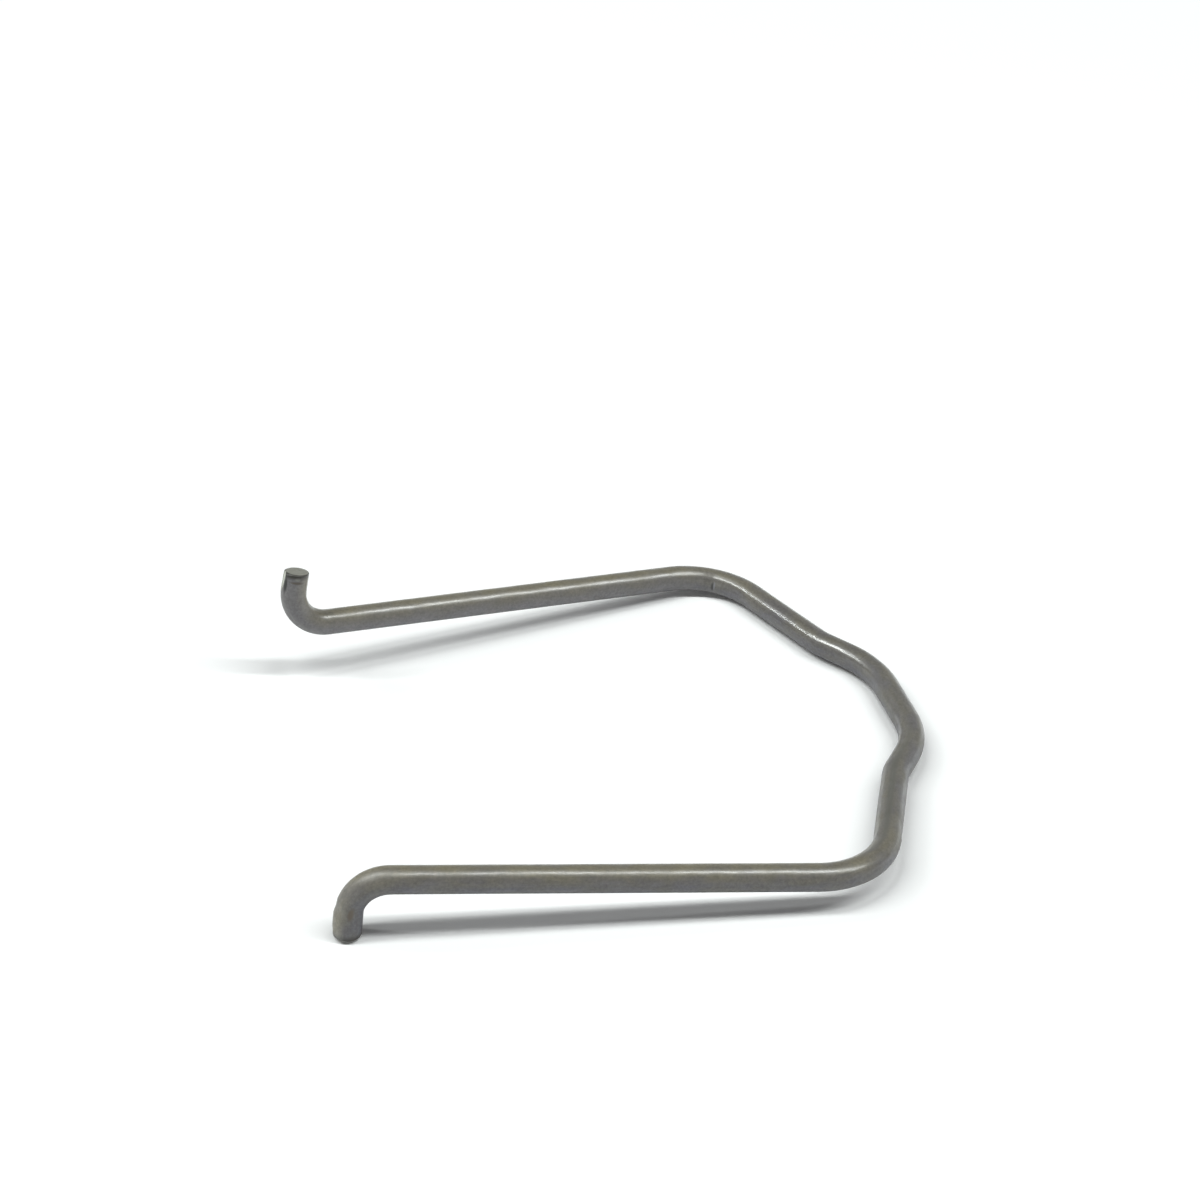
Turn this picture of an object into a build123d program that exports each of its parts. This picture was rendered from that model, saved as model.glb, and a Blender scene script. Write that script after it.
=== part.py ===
from build123d import *
from math import cos, radians, sin, sqrt, tan
import os

# Hose retaining clip: one length of round spring wire, bent cold on pins into a U.
# The legs spring over the neck of a hose coupling, the stepped nose at the closed end is
# the grip that it is pulled out by, and the hooked ends stop it leaving its slots.
# Forming frame (mm): X runs along the clip towards the nose, Y across it, and the legs lie
# in the plane Z = 0. Every length below is to the wire's centre line.

# Wire
wire_diameter = 3.0

# Plan of the U, from the line through its two shoulder corners
leg_run = 54.4            # shoulder corner back to the hook, along X
shoulder_half = 31.4      # shoulder corner, from the centre line of the clip
open_half = 23.4          # leg at its hook: the legs close in towards the open end
kink_reach = 7.7          # shoulder corner to the kink, along X
kink_half = 13.5          # kink, from the centre line of the clip
nose_reach = 12.4         # shoulder corner to the nose bar, along X
nose_half = 7.3           # end of the nose bar, from the centre line of the clip
nose_lift = 1.4           # degrees that the closed end is bent up out of the legs' plane

# Bends, each the radius of its forming pin plus half the wire
shoulder_bend = 8.8
kink_bend = 3.1
nose_bend = 11.7
hook_bend = 4.15

# Hooks: one turns up and the other down, so that the clip goes in either way up
upper_height = 7.0        # leg to the upper hook's sheared end
upper_splay = 7.3         # degrees that the upper hook leans outwards
upper_closing = 7.2       # degrees that it is closed past a right angle
lower_height = 6.7        # leg to the lower hook's sheared end
lower_splay = 2.3         # degrees that the lower hook leans outwards
lower_opening = 3.0       # degrees that it is left short of a right angle
leg_set = 0.8             # each leg's end stands this far out of the legs' plane

# Sheared ends
shear_slope = 2.5         # degrees that the cut is out of square
rim_break = 0.18          # rolled rim of the cut
flat_length = 2.9         # flat left by the bending jaw on the upper hook's outer side
flat_depth = 0.22         # depth of that flat at the cut end

wire_radius = wire_diameter / 2
offcut = wire_radius      # spare wire past each end, sheared off


def hook_axis(upwards):
    """Unit direction of a hook, from its leg to its sheared end."""
    side = 1 if upwards else -1
    lean_in = sin(radians(upper_closing if upwards else -lower_opening))
    lean_out = sin(radians(upper_splay if upwards else lower_splay))
    rise = sqrt(1 - lean_in**2 - lean_out**2)
    return Vector(lean_in, side * lean_out, side * rise)


def hook_root(upwards):
    """Corner where a leg turns into its hook."""
    side = 1 if upwards else -1
    return Vector(-leg_run, side * open_half, side * leg_set)


def hook_end(upwards):
    """Centre of a hook's sheared end."""
    height = upper_height if upwards else lower_height
    return hook_root(upwards) + hook_axis(upwards) * height


def centre_line():
    """Centre line of the wire, run past both ends so that it can be sheared off."""
    half = [(0, shoulder_half), (kink_reach, kink_half), (nose_reach, nose_half)]
    plan = half + [(x, -y) for x, y in reversed(half)]
    rise = tan(radians(nose_lift))
    points = [
        hook_end(True) + hook_axis(True) * offcut,
        hook_root(True),
        *[Vector(x, y, x * rise) for x, y in plan],
        hook_root(False),
        hook_end(False) + hook_axis(False) * offcut,
    ]
    side_bends = [hook_bend, shoulder_bend, kink_bend, nose_bend]
    return FilletPolyline(*points, radius=side_bends + side_bends[::-1])


def end_plane(upwards):
    """Square plane at a hook's end, with Z out of the wire and X towards the nose."""
    return Plane(origin=hook_end(upwards), x_dir=(1, 0, 0), z_dir=hook_axis(upwards))


def sheared_off(upwards):
    """Block that the shear takes off a hook, its underside on the slope of the cut."""
    blade = end_plane(upwards).rotated((-shear_slope, 0, 0))
    size = 2 * wire_diameter
    return blade * Box(size, size, size, align=(Align.CENTER, Align.CENTER, Align.MIN))


def jaw_flat():
    """Wedge that the bending jaw presses off the upper hook, on its outer side."""
    end = end_plane(True)
    slope = flat_depth / flat_length
    outline = Polyline(
        (-wire_radius, -flat_length),
        (-wire_radius + flat_depth + offcut * slope, offcut),
        (-wire_diameter, offcut),
        (-wire_diameter, -flat_length),
        close=True,
    )
    side = Plane(origin=end.origin, x_dir=end.x_dir, z_dir=-end.y_dir)
    return extrude(side * make_face(outline), amount=wire_diameter, both=True)


def bent_wire(path):
    """The whole clip in its forming frame, with the skin's seam clear of the jaw's flat."""
    start = Plane(origin=path @ 0, x_dir=(1, 0, 0), z_dir=path % 0)
    section = start * Circle(wire_radius)
    wire = sweep(section, path=path)
    for upwards in (True, False):
        wire -= sheared_off(upwards)
        rim = wire.faces().sort_by_distance(hook_end(upwards))[0].edges()
        wire = fillet(rim, rim_break)
    return wire - jaw_flat()


def downhill(normal, up):
    """Steepest way down in a plane with this normal, and how steep it is."""
    slide = normal * up.dot(normal) - up
    return slide.normalized(), slide.length


def resting_plane(path):
    """Surface that the clip lies on: it touches the lower hook's end and, under the
    closed end, the shoulder bend and nose bend on the upper hook's side."""
    bends = path.edges().filter_by(GeomType.CIRCLE)
    up = Vector(0, 0, 1)
    foot = hook_end(False)
    touching = [foot, bends[1].arc_center, bends[3].arc_center + Vector(shoulder_bend, 0, 0)]
    rounds = 12           # the surface and the places that it touches settle each other
    for _ in range(rounds):
        a, b, c = touching
        up = (b - a).cross(c - a).normalized()
        up = up if up.Z > 0 else up * -1
        way, square = downhill(hook_axis(False), up)
        touching = [foot + way * wire_radius]
        for bend, radius in ((bends[1], shoulder_bend), (bends[3], nose_bend)):
            way, _ = downhill(bend.normal(), up)
            touching.append(bend.arc_center + way * radius - up * wire_radius)
    nose_way = Vector(1, 0, 0)
    return Plane(origin=(0, 0, 0), x_dir=nose_way - up * up.X, z_dir=up)


def lay_down(solid, surface):
    """Put the clip on Z = 0 as it comes to rest, centred over the origin."""
    laid = solid.moved(surface.location.inverse())
    box = laid.bounding_box()
    return laid.moved(Location((-box.center().X, -box.center().Y, -box.min.Z)))


path = centre_line()
wire_clip = lay_down(bent_wire(path), resting_plane(path))

os.makedirs("parts", exist_ok=True)
export_step(wire_clip, "parts/wire_clip.step")
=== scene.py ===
from math import acos, atan2, cos, pi, radians, sin, sqrt, tan

import bpy
from mathutils import Matrix, Quaternion, Vector, noise


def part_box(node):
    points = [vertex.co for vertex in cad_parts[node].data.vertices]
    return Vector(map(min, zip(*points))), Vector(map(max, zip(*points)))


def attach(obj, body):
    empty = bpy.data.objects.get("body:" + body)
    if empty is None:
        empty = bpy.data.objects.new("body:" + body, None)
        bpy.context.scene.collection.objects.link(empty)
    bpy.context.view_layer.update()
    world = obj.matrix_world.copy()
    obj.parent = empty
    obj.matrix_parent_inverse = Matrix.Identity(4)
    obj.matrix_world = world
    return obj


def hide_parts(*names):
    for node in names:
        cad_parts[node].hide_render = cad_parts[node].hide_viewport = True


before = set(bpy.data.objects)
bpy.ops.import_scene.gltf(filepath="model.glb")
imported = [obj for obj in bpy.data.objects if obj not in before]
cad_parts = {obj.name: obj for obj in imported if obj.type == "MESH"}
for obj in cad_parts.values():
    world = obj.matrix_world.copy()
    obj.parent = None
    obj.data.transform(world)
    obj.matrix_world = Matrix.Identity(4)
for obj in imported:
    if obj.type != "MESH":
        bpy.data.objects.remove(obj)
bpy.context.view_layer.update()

# Hose retaining clip, as it comes to rest on a pale surface. Metres in the row frame.
# The wire is worked out in millimetres, in the frame that it was bent in: X along the clip
# towards the nose, Y across it, and the U in the plane Z = 0.


# ---------------------------------------------------------------------------------------
# Wire clip: one length of oil-tempered spring steel wire, bent cold on pins, then its ends
# sheared off. Bending leaves the worked stretches faintly uneven and marked by the pins,
# and the shear and its jaw leave the only bare metal, at the two ends.

MM = 0.001
wire_radius = 1.5

# Plan of the U, from the line through its shoulder corners, to the wire's centre line
leg_run = 54.4            # back to the hooks
open_half = 23.4          # leg at its hook, from the middle of the clip
leg_set = 0.8             # each leg's end stands this far out of the legs' plane
nose_lift = radians(1.4)  # the closed end is bent up by this much
plan_half = [(0.0, 31.4), (7.7, 13.5), (12.4, 7.3)]   # shoulder, kink, end of the nose bar
bend_radii = [4.15, 8.8, 7.0, 11.7]                   # hook, shoulder, kink, nose

# Hooks, the upper one first: height, and how far it leans outwards and is closed
hook_forms = {1: (7.0, radians(7.3), radians(7.2)), -1: (6.7, radians(2.3), radians(-3.0))}


def hook_axis(side):
    """Unit direction of a hook, from its leg to its sheared end."""
    _, splay, closing = hook_forms[side]
    lean_in = sin(closing)
    lean_out = sin(splay)
    return Vector((lean_in, side * lean_out, side * sqrt(1 - lean_in**2 - lean_out**2)))


def hook_root(side):
    """Corner where a leg turns into its hook."""
    return Vector((-leg_run, side * open_half, side * leg_set))


def wire_corners():
    """Corners of the wire's centre line, from the upper hook's end to the lower one's."""
    rise = tan(nose_lift)
    plan = [Vector((x, y, x * rise)) for x, y in plan_half]
    plan += [Vector((x, -y, x * rise)) for x, y in reversed(plan_half)]
    ends = [hook_root(side) + hook_axis(side) * hook_forms[side][0] for side in (1, -1)]
    return [ends[0], hook_root(1), *plan, hook_root(-1), ends[1]]


def bend_arcs(corners, radii):
    """For each corner: where its arc starts and ends, and the arc's centre."""
    arcs = []
    for before, corner, after, radius in zip(corners, corners[1:], corners[2:], radii):
        back = (before - corner).normalized()
        ahead = (after - corner).normalized()
        half_angle = acos(back.dot(ahead)) / 2
        setback = radius / tan(half_angle)
        middle = (back + ahead).normalized()
        centre = corner + middle * (radius / sin(half_angle))
        arcs.append((corner + back * setback, corner + ahead * setback, centre))
    return arcs


def walk_wire(corners, arcs, step):
    """Points and directions along the centre line, and the bend that each one lies in."""
    stations = []
    run_start = corners[0]
    for number, (start, end, centre) in enumerate(arcs + [(corners[-1], None, None)]):
        along = start - run_start
        count = max(1, round(along.length / step))
        for i in range(count):
            stations.append((run_start + along * (i / count), along.normalized(), None))
        if end is None:
            stations.append((start, along.normalized(), None))
            break
        spoke, last = start - centre, end - centre
        turn = spoke.rotation_difference(last)
        axis, angle = turn.to_axis_angle()
        count = max(2, round(spoke.length * angle / step))
        for i in range(count):
            part = Quaternion(axis, angle * i / count)
            arm = part @ spoke
            stations.append((centre + arm, axis.cross(arm).normalized(), number))
        run_start = end
    return stations


def resting_turn(corners, arcs):
    """Turn that lays the clip on the surface, which it touches at its lower hook's end
    and under the shoulder and nose bends of the other side."""
    up = Vector((0, 0, 1))
    touching = [corners[-1], arcs[1][2], arcs[3][2] + Vector((bend_radii[1], 0, 0))]
    rounds = 12           # the surface and the places that it touches settle each other
    for _ in range(rounds):
        up = (touching[1] - touching[0]).cross(touching[2] - touching[0]).normalized()
        up = up if up.z > 0 else -up
        axis = hook_axis(-1)
        touching = [corners[-1] + (axis * up.dot(axis) - up).normalized() * wire_radius]
        for number in (1, 3):
            start, end, centre = arcs[number]
            normal = (start - centre).cross(end - centre).normalized()
            way = (normal * up.dot(normal) - up).normalized()
            touching.append(centre + way * bend_radii[number] - up * wire_radius)
    nose_way = (Vector((1, 0, 0)) - up * up.x).normalized()
    return Matrix((nose_way, up.cross(nose_way), up))


corners = wire_corners()
arcs = bend_arcs(corners, bend_radii + bend_radii[::-1])
stations = walk_wire(corners, arcs, step=0.25)
wire_length = sum((b[0] - a[0]).length for a, b in zip(stations, stations[1:]))

# How far the skin strays from a true round where the wire was worked, and along the legs,
# in waves of this length along the wire and this many to a millimetre of its section
worked_wobble = 0.016
leg_wobble = 0.006
wobble_length = 5.5
wobble_round = 0.8
worked_reach = (34.0, 42.0)       # from the middle of the wire, all worked to not worked

# Inner side of a bend, by the cosine of the angle from it: the pin presses a flat, and the
# squeezed metal bulges either way of it
pin_press = 0.05
pressed = (0.86, 1.0)
bend_swell = 0.03
swollen = (0.55, 0.8, 0.8, 0.97)
bend_ease = 8                     # stations over which a bend's marks fade in and out

# Outer side of the lower hook, by the distance back from its cut: the jaw bit in, and the
# metal that it pushed out flares between its bite and the cut
tool_notch = 0.06
bite_stretch = (3.0, 3.3, 3.4, 3.8)
jaw_flare = 0.11
flare_stretch = (0.2, 1.4, 2.6, 3.1)
jaw_side = (0.5, 1.0)             # cosine of the angle from the jaw, untouched to full
jaw_turn = 0.15                   # radians that the jaw stood round from the outer side

# Rims and faces of the sheared ends
rim_roll = 0.42                   # rolled rim where the shear went in
rim_burr = 0.12                   # sharp rim where it came out
rim_reach = 0.6                   # wire at each end that its rim takes up
face_wave = (0.035, 1.6)          # hollows of the broken face: depth, and number to a mm
face_grain = (0.012, 5.0)         # its grain, in the same way
face_edge = (0.85, 1.0)           # share of the way out, over which its hollows fade
faces_apart = 7.0                 # so that the two faces aren't alike
around = 72                       # points in a ring of the skin


def smooth_step(low, high, value):
    """0 at one value and 1 at the other, easing in and out between them."""
    share = min(1.0, max(0.0, (value - low) / (high - low)))
    return share * share * (3 - 2 * share)


def within(stretch, value):
    """1 in the middle of a stretch and 0 outside it, easing in and out at its ends."""
    starts, full, fades, over = stretch
    return smooth_step(starts, full, value) * (1 - smooth_step(fades, over, value))


def worked(distance):
    """How much a place along the wire was worked: 1 in the bent closed end, 0 on a leg."""
    from_middle = abs(distance - wire_length / 2)
    return 1 - smooth_step(*worked_reach, from_middle)


def skin_radius(distance, angle, inner_angle, in_bend):
    """Radius of the wire's skin at a place along it and an angle round it."""
    place = Vector((distance / wobble_length, cos(angle) * wobble_round,
                    sin(angle) * wobble_round))
    share = worked(distance)
    wander = leg_wobble + (worked_wobble - leg_wobble) * share
    radius = wire_radius + wander * noise.noise(place)
    to_end = wire_length - distance
    outer = smooth_step(*jaw_side, cos(angle + jaw_turn))
    radius += outer * jaw_flare * within(flare_stretch, to_end)
    radius -= outer * tool_notch * within(bite_stretch, to_end)
    if in_bend > 0:
        facing = cos(angle - inner_angle)
        radius -= in_bend * pin_press * smooth_step(*pressed, facing)
        radius += in_bend * bend_swell * within(swollen, facing)
    return radius


def bend_shares(stations):
    """How far each station is into a bend, 0 to 1, eased over a few stations."""
    inside = [0.0 if station[2] is None else 1.0 for station in stations]
    shares = []
    for i in range(len(inside)):
        window = inside[max(0, i - bend_ease):i + bend_ease + 1]
        shares.append(sum(window) / (2 * bend_ease + 1))
    return shares


def wire_frames(stations):
    """A side direction for each station, carried along the wire without twist."""
    tangent = stations[0][1]
    side = (Vector((1, 0, 0)) - tangent * tangent.x).normalized()
    sides = []
    for _, direction, _ in stations:
        side = tangent.rotation_difference(direction) @ side
        side = (side - direction * side.dot(direction)).normalized()
        sides.append(side)
        tangent = direction
    return sides


shear_slope = radians(2.5)
flat_length = 2.9         # flat of the jaw on the upper hook's outer side
flat_depth = 0.22
flat_blend = 0.03         # depth of the flat over which its bare metal shows
flat_side = -0.2          # cosine from the side away from the jaw, below which it can press
end_zone = 1.8            # straight wire at an end that is fitted to its sheared face
face_rings = 12           # rings of a sheared face, from its middle to its rim
rim_turns = [radians(a) for a in (78, 66, 52, 38, 25, 12, 0)]   # rings of its rim, going out
rim_bare = (0.9, 1.0)     # sine of the rim's turn, over which the face's bare metal starts

# Points of the mesh, each with its place along and round the straight wire that the clip
# was bent from, and how far it is bare metal and part of a rim
mesh_points = []
mesh_wire = []
mesh_bare = []
mesh_rim = []


def add_point(place, distance, angle, radius, bare, rim=0.0):
    """Add a point to the mesh and return its number."""
    mesh_points.append(place)
    mesh_wire.append((distance, cos(angle) * radius, sin(angle) * radius))
    mesh_bare.append(bare)
    mesh_rim.append(rim)
    return len(mesh_points) - 1


def press_flat(end, where, spoke):
    """Push a point of the upper hook's skin in to the flat that the jaw left on it."""
    tip, toward, side = end
    if end is not ends[0]:
        return where, 0.0
    back = -(where - tip).dot(toward)
    limit = flat_depth * (1 - back / flat_length) - wire_radius
    facing = spoke.dot(side)
    over = limit - (where - tip).dot(side)
    if over <= 0 or facing > flat_side or back > flat_length:
        return where, 0.0
    return where + spoke * (over / facing), over


def rim_size(angle):
    """Rolled on the jaw's side, where the shear went in, and sharp on the other."""
    return rim_burr + (rim_roll - rim_burr) * (1 - cos(angle)) / 2


def on_end(end, spoke, radius, back):
    """Place near a sheared end, for a depth back from its sloping face."""
    tip, toward, side = end
    normal = toward * cos(shear_slope) + toward.cross(side) * sin(shear_slope)
    offset = spoke * radius
    rise = -offset.dot(normal) / toward.dot(normal)
    ease = 1 - smooth_step(0.0, end_zone, back)
    return tip + offset + toward * (rise * ease - back)


def sheared_end(end, third, distance, outward):
    """Rings of a sheared face, from its middle out, and then of its rolled rim."""
    _, _, side = end
    rows = []
    for ring in range(face_rings + 1):
        share = ring / face_rings
        row = []
        for k in range(around if ring else 1):
            angle = 2 * pi * k / around
            spoke = side * cos(angle) + third * sin(angle)
            radius = (wire_radius - rim_size(angle)) * share
            spot = Vector((cos(angle) * radius, sin(angle) * radius, outward * faces_apart))
            dent = sum(depth * noise.noise(spot * rate) for depth, rate in (face_wave, face_grain))
            dent *= 1 - smooth_step(*face_edge, share)
            where = on_end(end, spoke, radius, dent)
            where, _ = press_flat(end, where, spoke)
            row.append(add_point(where, distance, angle, radius, 1.0))
        rows.append(row)
    for turn in rim_turns:
        row = []
        for k in range(around):
            angle = 2 * pi * k / around
            spoke = side * cos(angle) + third * sin(angle)
            roll = rim_size(angle)
            back = roll * (1 - sin(turn))
            radius = wire_radius - roll * (1 - cos(turn))
            where, over = press_flat(end, on_end(end, spoke, radius, back), spoke)
            bare = max(smooth_step(*rim_bare, sin(turn)), smooth_step(0.0, flat_blend, over))
            row.append(add_point(where, distance - outward * back, angle, radius, bare, 1.0))
        rows.append(row)
    return rows


def wire_body(ends, sides):
    """Rings of the wire between its two ends."""
    shares = bend_shares(stations)
    rows = []
    distance = 0.0
    inner_angle = 0.0
    last_point = stations[0][0]
    for (point, direction, bend), side, share in zip(stations, sides, shares):
        distance += (point - last_point).length
        last_point = point
        if not rim_reach < distance < wire_length - rim_reach:
            continue
        third = direction.cross(side)
        if bend is not None:
            inward = (arcs[bend][2] - point).normalized()
            inner_angle = atan2(inward.dot(third), inward.dot(side))
        near_start = distance < wire_length / 2
        end = ends[0] if near_start else ends[1]
        back = distance if near_start else wire_length - distance
        row = []
        for k in range(around):
            angle = 2 * pi * k / around
            spoke = side * cos(angle) + third * sin(angle)
            radius = skin_radius(distance, angle, inner_angle, share)
            where = on_end(end, spoke, radius, back) if back < end_zone else point + spoke * radius
            over = 0.0
            if back < flat_length:
                where, over = press_flat(end, where, spoke)
            bare = smooth_step(0.0, flat_blend, over)
            row.append(add_point(where, distance, angle, radius, bare))
        rows.append(row)
    return rows


def skin_faces(rows):
    """Quads between rings, and a fan where a ring is the single middle point."""
    faces = []
    for row, following in zip(rows, rows[1:]):
        for k in range(around):
            after = (k + 1) % around
            if len(row) == 1:
                faces.append((row[0], following[after], following[k]))
            elif len(following) == 1:
                faces.append((row[k], row[after], following[0]))
            else:
                faces.append((row[k], row[after], following[after], following[k]))
    return faces


sides = wire_frames(stations)
ends = [(stations[0][0], -stations[0][1], sides[0]),
        (stations[-1][0], stations[-1][1], sides[-1])]
first_third = stations[0][1].cross(sides[0])
last_third = stations[-1][1].cross(sides[-1])
rows = sheared_end(ends[0], first_third, 0.0, -1)
rows += wire_body(ends, sides)
rows += list(reversed(sheared_end(ends[1], last_third, wire_length, 1)))

# Lay the wire down and set it in the middle of the solid that it dresses
turn = resting_turn(corners, arcs)
laid = [turn @ place for place in mesh_points]
low = Vector([min(p[i] for p in laid) for i in range(3)])
high = Vector([max(p[i] for p in laid) for i in range(3)])
cad_low, cad_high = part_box("wire_clip")
shift = Vector(((cad_low.x + cad_high.x) / 2 - MM * (low.x + high.x) / 2,
                (cad_low.y + cad_high.y) / 2 - MM * (low.y + high.y) / 2,
                cad_low.z - MM * low.z))
mesh = bpy.data.meshes.new("spring_wire")
mesh.from_pydata([p * MM + shift for p in laid], [], skin_faces(rows))
mesh.validate()
for polygon in mesh.polygons:
    polygon.use_smooth = True
drawn = mesh.attributes.new("drawn", "FLOAT_VECTOR", "POINT")
drawn.data.foreach_set("vector", [value for place in mesh_wire for value in place])
bare = mesh.attributes.new("bare", "FLOAT", "POINT")
bare.data.foreach_set("value", mesh_bare)
rim = mesh.attributes.new("rim", "FLOAT", "POINT")
rim.data.foreach_set("value", mesh_rim)
clip = bpy.data.objects.new("bent_wire", mesh)
bpy.context.scene.collection.objects.link(clip)


def linear(hex_colour):
    """An sRGB hex colour as the linear colour that a shader takes."""
    values = [int(hex_colour[i:i + 2], 16) / 255 for i in (1, 3, 5)]
    return [v / 12.92 if v <= 0.04045 else ((v + 0.055) / 1.055) ** 2.4 for v in values] + [1]


def add_node(tree, kind, links=None, **settings):
    """Add a node with its settings, and its inputs' values or links."""
    node = tree.nodes.new(kind)
    for name, value in settings.items():
        setattr(node, name, value)
    for name, value in (links or {}).items():
        if isinstance(value, bpy.types.NodeSocket):
            tree.links.new(value, node.inputs[name])
        else:
            node.inputs[name].default_value = value
    return node


# Oil-tempered spring steel: a thin dark oxide over drawn steel, and a film of oil on that.
# The oxide gives a dull grey with a faint olive cast, painted stronger on the upper side as a
# warm reflection, and the film a narrow highlight along the wire, which wanders a little. Its
# patterns are in millimetres of the straight wire.
steel = bpy.data.materials.new("oil_tempered_spring_steel")
steel.use_nodes = True
tree = steel.node_tree
tree.nodes.clear()
straight = add_node(tree, "ShaderNodeAttribute", attribute_name="drawn").outputs["Vector"]
cut = add_node(tree, "ShaderNodeAttribute", attribute_name="bare").outputs["Fac"]
place = add_node(tree, "ShaderNodeSeparateXYZ", {"Vector": straight})

# Die lines, drawn out along the wire: 0.1 mm wide and 5 mm long
drawn_out = add_node(tree, "ShaderNodeMapping", {"Vector": straight, "Scale": (0.2, 10.0, 10.0)})
die_lines = add_node(tree, "ShaderNodeTexNoise", {
    "Vector": drawn_out.outputs[0], "Scale": 1.0, "Detail": 2.0, "Roughness": 0.6})

# Fine mottle of the oxide, 0.3 mm, and its patches, 2 mm across and longer along the wire
mottle = add_node(tree, "ShaderNodeTexNoise", {
    "Vector": straight, "Scale": 3.2, "Detail": 3.0, "Roughness": 0.7})
patchwork = add_node(tree, "ShaderNodeMapping", {"Vector": straight, "Scale": (0.28, 0.7, 0.7)})
patches = add_node(tree, "ShaderNodeTexNoise", {
    "Vector": patchwork.outputs[0], "Scale": 1.0, "Detail": 2.0, "Roughness": 0.55})

# Slow waviness of the drawn skin, which makes the highlight wander and break
wavy = add_node(tree, "ShaderNodeMapping", {"Vector": straight, "Scale": (0.4, 0.9, 0.9)})
waves = add_node(tree, "ShaderNodeTexNoise", {
    "Vector": wavy.outputs[0], "Scale": 1.0, "Detail": 2.0, "Roughness": 0.5})


def mark(middle, reach):
    """Mask of a mark on the wire: 1 in its middle, down to 0 at its reach either way."""
    off = add_node(tree, "ShaderNodeVectorMath", {0: straight, 1: middle}, operation="SUBTRACT")
    share = add_node(tree, "ShaderNodeVectorMath", {0: off.outputs[0], 1: reach},
                     operation="DIVIDE")
    far = add_node(tree, "ShaderNodeVectorMath", {0: share.outputs[0]}, operation="LENGTH")
    return add_node(tree, "ShaderNodeMapRange", {
        "Value": far.outputs["Value"], "From Min": 1.0, "From Max": 0.35},
        interpolation_type="SMOOTHSTEP").outputs[0]


def tinted(base, amount, tint):
    """A colour with a tint mixed into it by an amount, 0 to 1."""
    return add_node(tree, "ShaderNodeMix", {0: amount, 6: base, 7: linear(tint)},
                    data_type="RGBA").outputs[2]


# Grey oxide in cooler and warmer patches, thinner and paler towards the upper hook
warm = add_node(tree, "ShaderNodeMapRange", {
    "Value": patches.outputs[0], "From Min": 0.36, "From Max": 0.64})
oxide = add_node(tree, "ShaderNodeMix", {
    0: warm.outputs[0], 6: linear("#605f64"), 7: linear("#65635f")}, data_type="RGBA").outputs[2]
thinner = add_node(tree, "ShaderNodeMapRange", {
    "Value": mark((18.0, 0.0, 0.0), (60.0, 8.0, 8.0)), "To Max": 0.75})
oxide = tinted(oxide, thinner.outputs[0], "#737172")

# Painted warm reflection: an olive brown on the side that lies up, where the wire mirrors the
# warm room above and behind it, weaker along the closed end
closed_end = mark((wire_length / 2, 0.0, 0.0), (48.0, 8.0, 8.0))
painted_tint_strength = add_node(tree, "ShaderNodeMapRange", {
    "Value": closed_end, "To Min": 0.85, "To Max": 0.35})
upper_side = add_node(tree, "ShaderNodeMapRange", {
    "Value": place.outputs["Y"], "From Min": -0.1, "From Max": 1.5, "To Max": painted_tint_strength.outputs[0]})
uneven = add_node(tree, "ShaderNodeMapRange", {
    "Value": warm.outputs[0], "To Min": 0.7, "To Max": 1.15})
brown = add_node(tree, "ShaderNodeMath", {0: upper_side.outputs[0], 1: uneven.outputs[0]},
                 operation="MULTIPLY")
oxide = tinted(oxide, brown.outputs[0], "#7a7461")

# Both are speckled by the mottle and streaked by the die lines
speckle = add_node(tree, "ShaderNodeMapRange", {
    "Value": mottle.outputs[0], "From Min": 0.3, "From Max": 0.7, "To Min": 0.78, "To Max": 1.22})
streak = add_node(tree, "ShaderNodeMapRange", {
    "Value": die_lines.outputs[0], "From Min": 0.3, "From Max": 0.7,
    "To Min": 0.95, "To Max": 1.05})
depth = add_node(tree, "ShaderNodeMath", {0: speckle.outputs[0], 1: streak.outputs[0]},
                 operation="MULTIPLY")
skin = add_node(tree, "ShaderNodeMix", {
    0: 1.0, 6: oxide, 7: depth.outputs[0]}, data_type="RGBA", blend_type="MULTIPLY").outputs[2]

# Marks and painted shade and highlights on the skin: where each is on the straight wire, its
# reach, and its colour
marks = (
    # painted shade of the nick's dent
    ((58.85, 0.1, 1.5), (0.3, 0.8, 0.9), "#3a3a37"),      # nick from the bending pin
    # painted shade: a darker stripe along the middle of the closed end's bar
    ((112.0, 1.7, 0.3), (18.0, 0.8, 0.6), "#62615a"),     # dull stripe along the closed end
    ((180.9, 0.0, -1.5), (1.1, 0.45, 0.8), "#60574c"),    # brown stain on the lower hook
    # painted shade under the upper rim
    ((0.95, 0.0, 1.5), (0.22, 1.1, 0.9), "#564f47"),      # dark line under the upper rim
    # painted highlight of a small burr below the upper rim
    ((0.5, 0.0, 1.5), (0.25, 0.45, 0.6), "#94948e"),      # bright spot between rim and line
    # painted highlight on the raised edge of the nick
    ((59.12, 0.2, 1.5), (0.2, 0.7, 0.9), "#808084"),      # raised edge of the nick
)
for middle, reach, tint in marks:
    skin = tinted(skin, mark(middle, reach), tint)

# Painted shade darkens the turn of each rim
rolled = add_node(tree, "ShaderNodeAttribute", attribute_name="rim").outputs["Fac"]
skin = tinted(skin, rolled, "#3c3a35")

# Freshly sheared steel at the ends: paler, and dull from the grain of the break. The jaw
# polished its flat on the upper hook, which is painted paler still as a bright reflection, and a
# painted shadow runs in a dark line beside it.
fresh = add_node(tree, "ShaderNodeMix", {
    0: mottle.outputs[0], 6: linear("#8c8a80"), 7: linear("#b4b4aa")}, data_type="RGBA")
colour = add_node(tree, "ShaderNodeMix", {
    0: cut, 6: skin, 7: fresh.outputs[2]}, data_type="RGBA").outputs[2]
# painted reflection on the jaw's polished flat
flat_glint_mask = mark((0.9, -1.4, 0.2), (1.3, 0.4, 0.6))
colour = tinted(colour, flat_glint_mask, "#c8ccc0")
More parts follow.
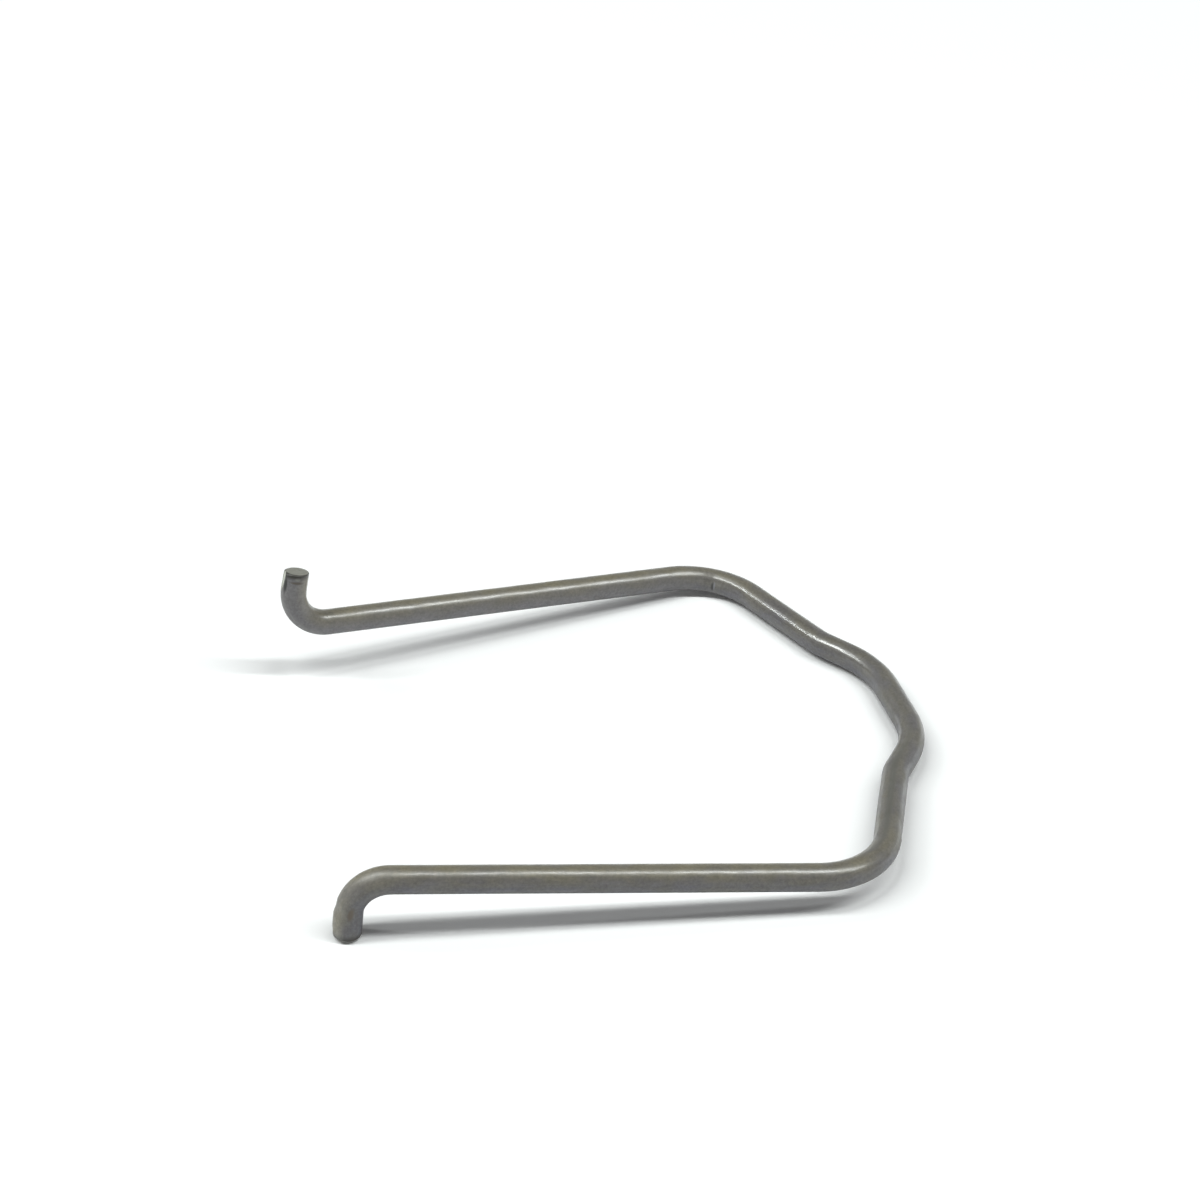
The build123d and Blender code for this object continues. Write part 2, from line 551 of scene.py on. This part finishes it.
# painted shadow beside the flat
flat_edge_shade = mark((1.4, -1.2, 0.8), (1.4, 0.3, 0.5))
colour = tinted(colour, flat_edge_shade, "#1f201c")
metallic = add_node(tree, "ShaderNodeMapRange", {"Value": cut, "To Min": 0.12, "To Max": 0.6})

# Two skins shine. The rough oxide spreads a wide dull sheen. The thin film of oil on it gives
# a narrow bright line, narrower where the forming tools slid and wide near the lower hook.
# There is less oil on the side that lies down, and almost none where metal is cut or rubbed.
sheen = add_node(tree, "ShaderNodeMapRange", {
    "Value": patches.outputs[0], "From Min": 0.35, "From Max": 0.65,
    "To Min": 0.44, "To Max": 0.54})
slid = mark((72.0, 0.0, 0.0), (19.0, 4.0, 4.0))
film = add_node(tree, "ShaderNodeMapRange", {"Value": slid, "To Min": 0.32, "To Max": 0.2})
wiped = mark((wire_length, 0.0, 0.0), (13.0, 8.0, 8.0))
film = add_node(tree, "ShaderNodeMath", {0: wiped, 1: 0.25, 2: film.outputs[0]},
                operation="MULTIPLY_ADD")
broken = add_node(tree, "ShaderNodeMapRange", {
    "Value": waves.outputs[0], "From Min": 0.35, "From Max": 0.6, "To Min": 0.55, "To Max": 1.0})
lying_up = add_node(tree, "ShaderNodeMapRange", {
    "Value": place.outputs["Y"], "From Min": 0.3, "From Max": 1.1, "To Min": 0.3})
oiled = add_node(tree, "ShaderNodeMath", {0: broken.outputs[0], 1: lying_up.outputs[0]},
                 operation="MULTIPLY")
rubbed = mark((58.1, 1.1, 1.0), (1.0, 1.2, 1.2))
dry = add_node(tree, "ShaderNodeMath", {0: cut, 1: rubbed}, operation="MAXIMUM")
wet = add_node(tree, "ShaderNodeMath", {
    0: dry.outputs[0], 1: -0.8, 2: oiled.outputs[0]}, operation="MULTIPLY_ADD", use_clamp=True)

# Relief, in metres: the slow waves, which the film follows too, the die lines, and the mottle
wave_bump = add_node(tree, "ShaderNodeBump", {
    "Height": waves.outputs[0], "Strength": 1.0, "Distance": 0.00004})
line_bump = add_node(tree, "ShaderNodeBump", {
    "Height": die_lines.outputs[0], "Strength": 1.0, "Distance": 0.000006,
    "Normal": wave_bump.outputs[0]})
grain_bump = add_node(tree, "ShaderNodeBump", {
    "Height": mottle.outputs[0], "Strength": 1.0, "Distance": 0.00001,
    "Normal": line_bump.outputs[0]})
shader = add_node(tree, "ShaderNodeBsdfPrincipled", {
    "Base Color": colour, "Metallic": metallic.outputs[0],
    "Roughness": sheen.outputs[0], "Specular IOR Level": 0.3,
    "Coat Weight": wet.outputs[0], "Coat IOR": 1.95,
    "Coat Roughness": film.outputs[0], "Normal": grain_bump.outputs[0],
    "Coat Normal": wave_bump.outputs[0]})
add_node(tree, "ShaderNodeOutputMaterial", {"Surface": shader.outputs[0]})
mesh.materials.append(steel)
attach(clip, "root")
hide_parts("wire_clip")


# ---------------------------------------------------------------------------------------
# Floor: the surface that the clip lies on, a sheet of matt white paper. It comes out white
# and keeps the shadow. Its faint glow shows only to the eye and in the wire.

floor_mesh = bpy.data.meshes.new("floor")
half = 3.0
floor_mesh.from_pydata([(-half, -half, 0), (half, -half, 0), (half, half, 0), (-half, half, 0)],
                       [], [(0, 1, 2, 3)])
floor = bpy.data.objects.new("floor", floor_mesh)
bpy.context.scene.collection.objects.link(floor)
paper = bpy.data.materials.new("matt_white_paper")
paper.use_nodes = True
tree = paper.node_tree
tree.nodes.clear()
shade = add_node(tree, "ShaderNodeBsdfDiffuse", {"Color": linear("#fbfbfb")})
ray = add_node(tree, "ShaderNodeLightPath")
seen = add_node(tree, "ShaderNodeMath", {0: ray.outputs["Is Camera Ray"],
                                         1: ray.outputs["Is Glossy Ray"]}, operation="MAXIMUM")
lift = add_node(tree, "ShaderNodeMath", {0: seen.outputs[0], 1: 0.02}, operation="MULTIPLY")
glow = add_node(tree, "ShaderNodeEmission", {"Color": linear("#ffffff"),
                                             "Strength": lift.outputs[0]})
both = add_node(tree, "ShaderNodeAddShader", {0: shade.outputs[0], 1: glow.outputs[0]})
add_node(tree, "ShaderNodeOutputMaterial", {"Surface": both.outputs[0]})
floor_mesh.materials.append(paper)


# ---------------------------------------------------------------------------------------
# Light: two tube lights in line, high overhead and slanting a little across the legs, a
# thinner one behind them, and the pale room round it, brighter at its walls than overhead.
# The tubes draw the highlight along the wire and the soft shadow, and the room fills that.

world = bpy.data.worlds.new("pale_room")
bpy.context.scene.world = world
world.use_nodes = True
tree = world.node_tree
tree.nodes.clear()
around_us = add_node(tree, "ShaderNodeTexCoord").outputs["Generated"]
height = add_node(tree, "ShaderNodeSeparateXYZ", {"Vector": around_us}).outputs["Z"]
pale = add_node(tree, "ShaderNodeMapRange", {
    "Value": height, "From Min": 0.35, "From Max": 0.75, "To Min": 0.35, "To Max": 0.02})
sky = add_node(tree, "ShaderNodeBackground", {
    "Color": linear("#f4f5f6"), "Strength": pale.outputs[0]})
add_node(tree, "ShaderNodeOutputWorld", {"Surface": sky.outputs[0]})

ceiling = 1.4
slant = radians(-17)
along = Vector((-cos(slant), -sin(slant), 0))
behind = Vector((-sin(slant), cos(slant), 0))

# Each tube: where it starts and ends along the slant, how far back it hangs, its width. All
# give the same light for their size, faintly green as such tubes are.
watts_per_area = 141
tube_white = linear("#fbfffe")[:3]
tubes = {
    "right_tube": (-1.5, -0.16, -0.08, 0.08),
    "left_tube": (0.12, 1.5, -0.08, 0.08),
    "far_tube": (1.0, 2.4, 0.32, 0.045),
}
for name, (start, end, back, width) in tubes.items():
    lamp = bpy.data.lights.new(name, "AREA")
    lamp.shape = "RECTANGLE"
    lamp.size = end - start
    lamp.size_y = width
    lamp.energy = watts_per_area * (end - start) * width
    lamp.color = tube_white
    tube = bpy.data.objects.new(name, lamp)
    tube.location = along * (start + end) / 2 + behind * back + Vector((0, 0, ceiling))
    tube.rotation_euler = (0, 0, slant)
    bpy.context.scene.collection.objects.link(tube)


# ---------------------------------------------------------------------------------------
# Camera: held 0.3 m from the clip, in front of the lower hook's leg and a little towards the
# open end, and looking down on it by 34 degrees.

camera_data = bpy.data.cameras.new("camera")
camera_data.lens = 78.16
camera_data.sensor_width = 36.0
camera = bpy.data.objects.new("camera", camera_data)
camera.location = Vector((-57.02, -228.47, 177.26)) * MM
right = Vector((0.9722247, -0.2340111, 0.0042441))
forward = Vector((0.1972341, 0.8093983, -0.5531483))
view_up = right.cross(forward)
camera.rotation_euler = Matrix((right, view_up, -forward)).transposed().to_euler()
bpy.context.scene.collection.objects.link(camera)
bpy.context.scene.camera = camera
bpy.context.scene.view_settings.view_transform = "Standard"
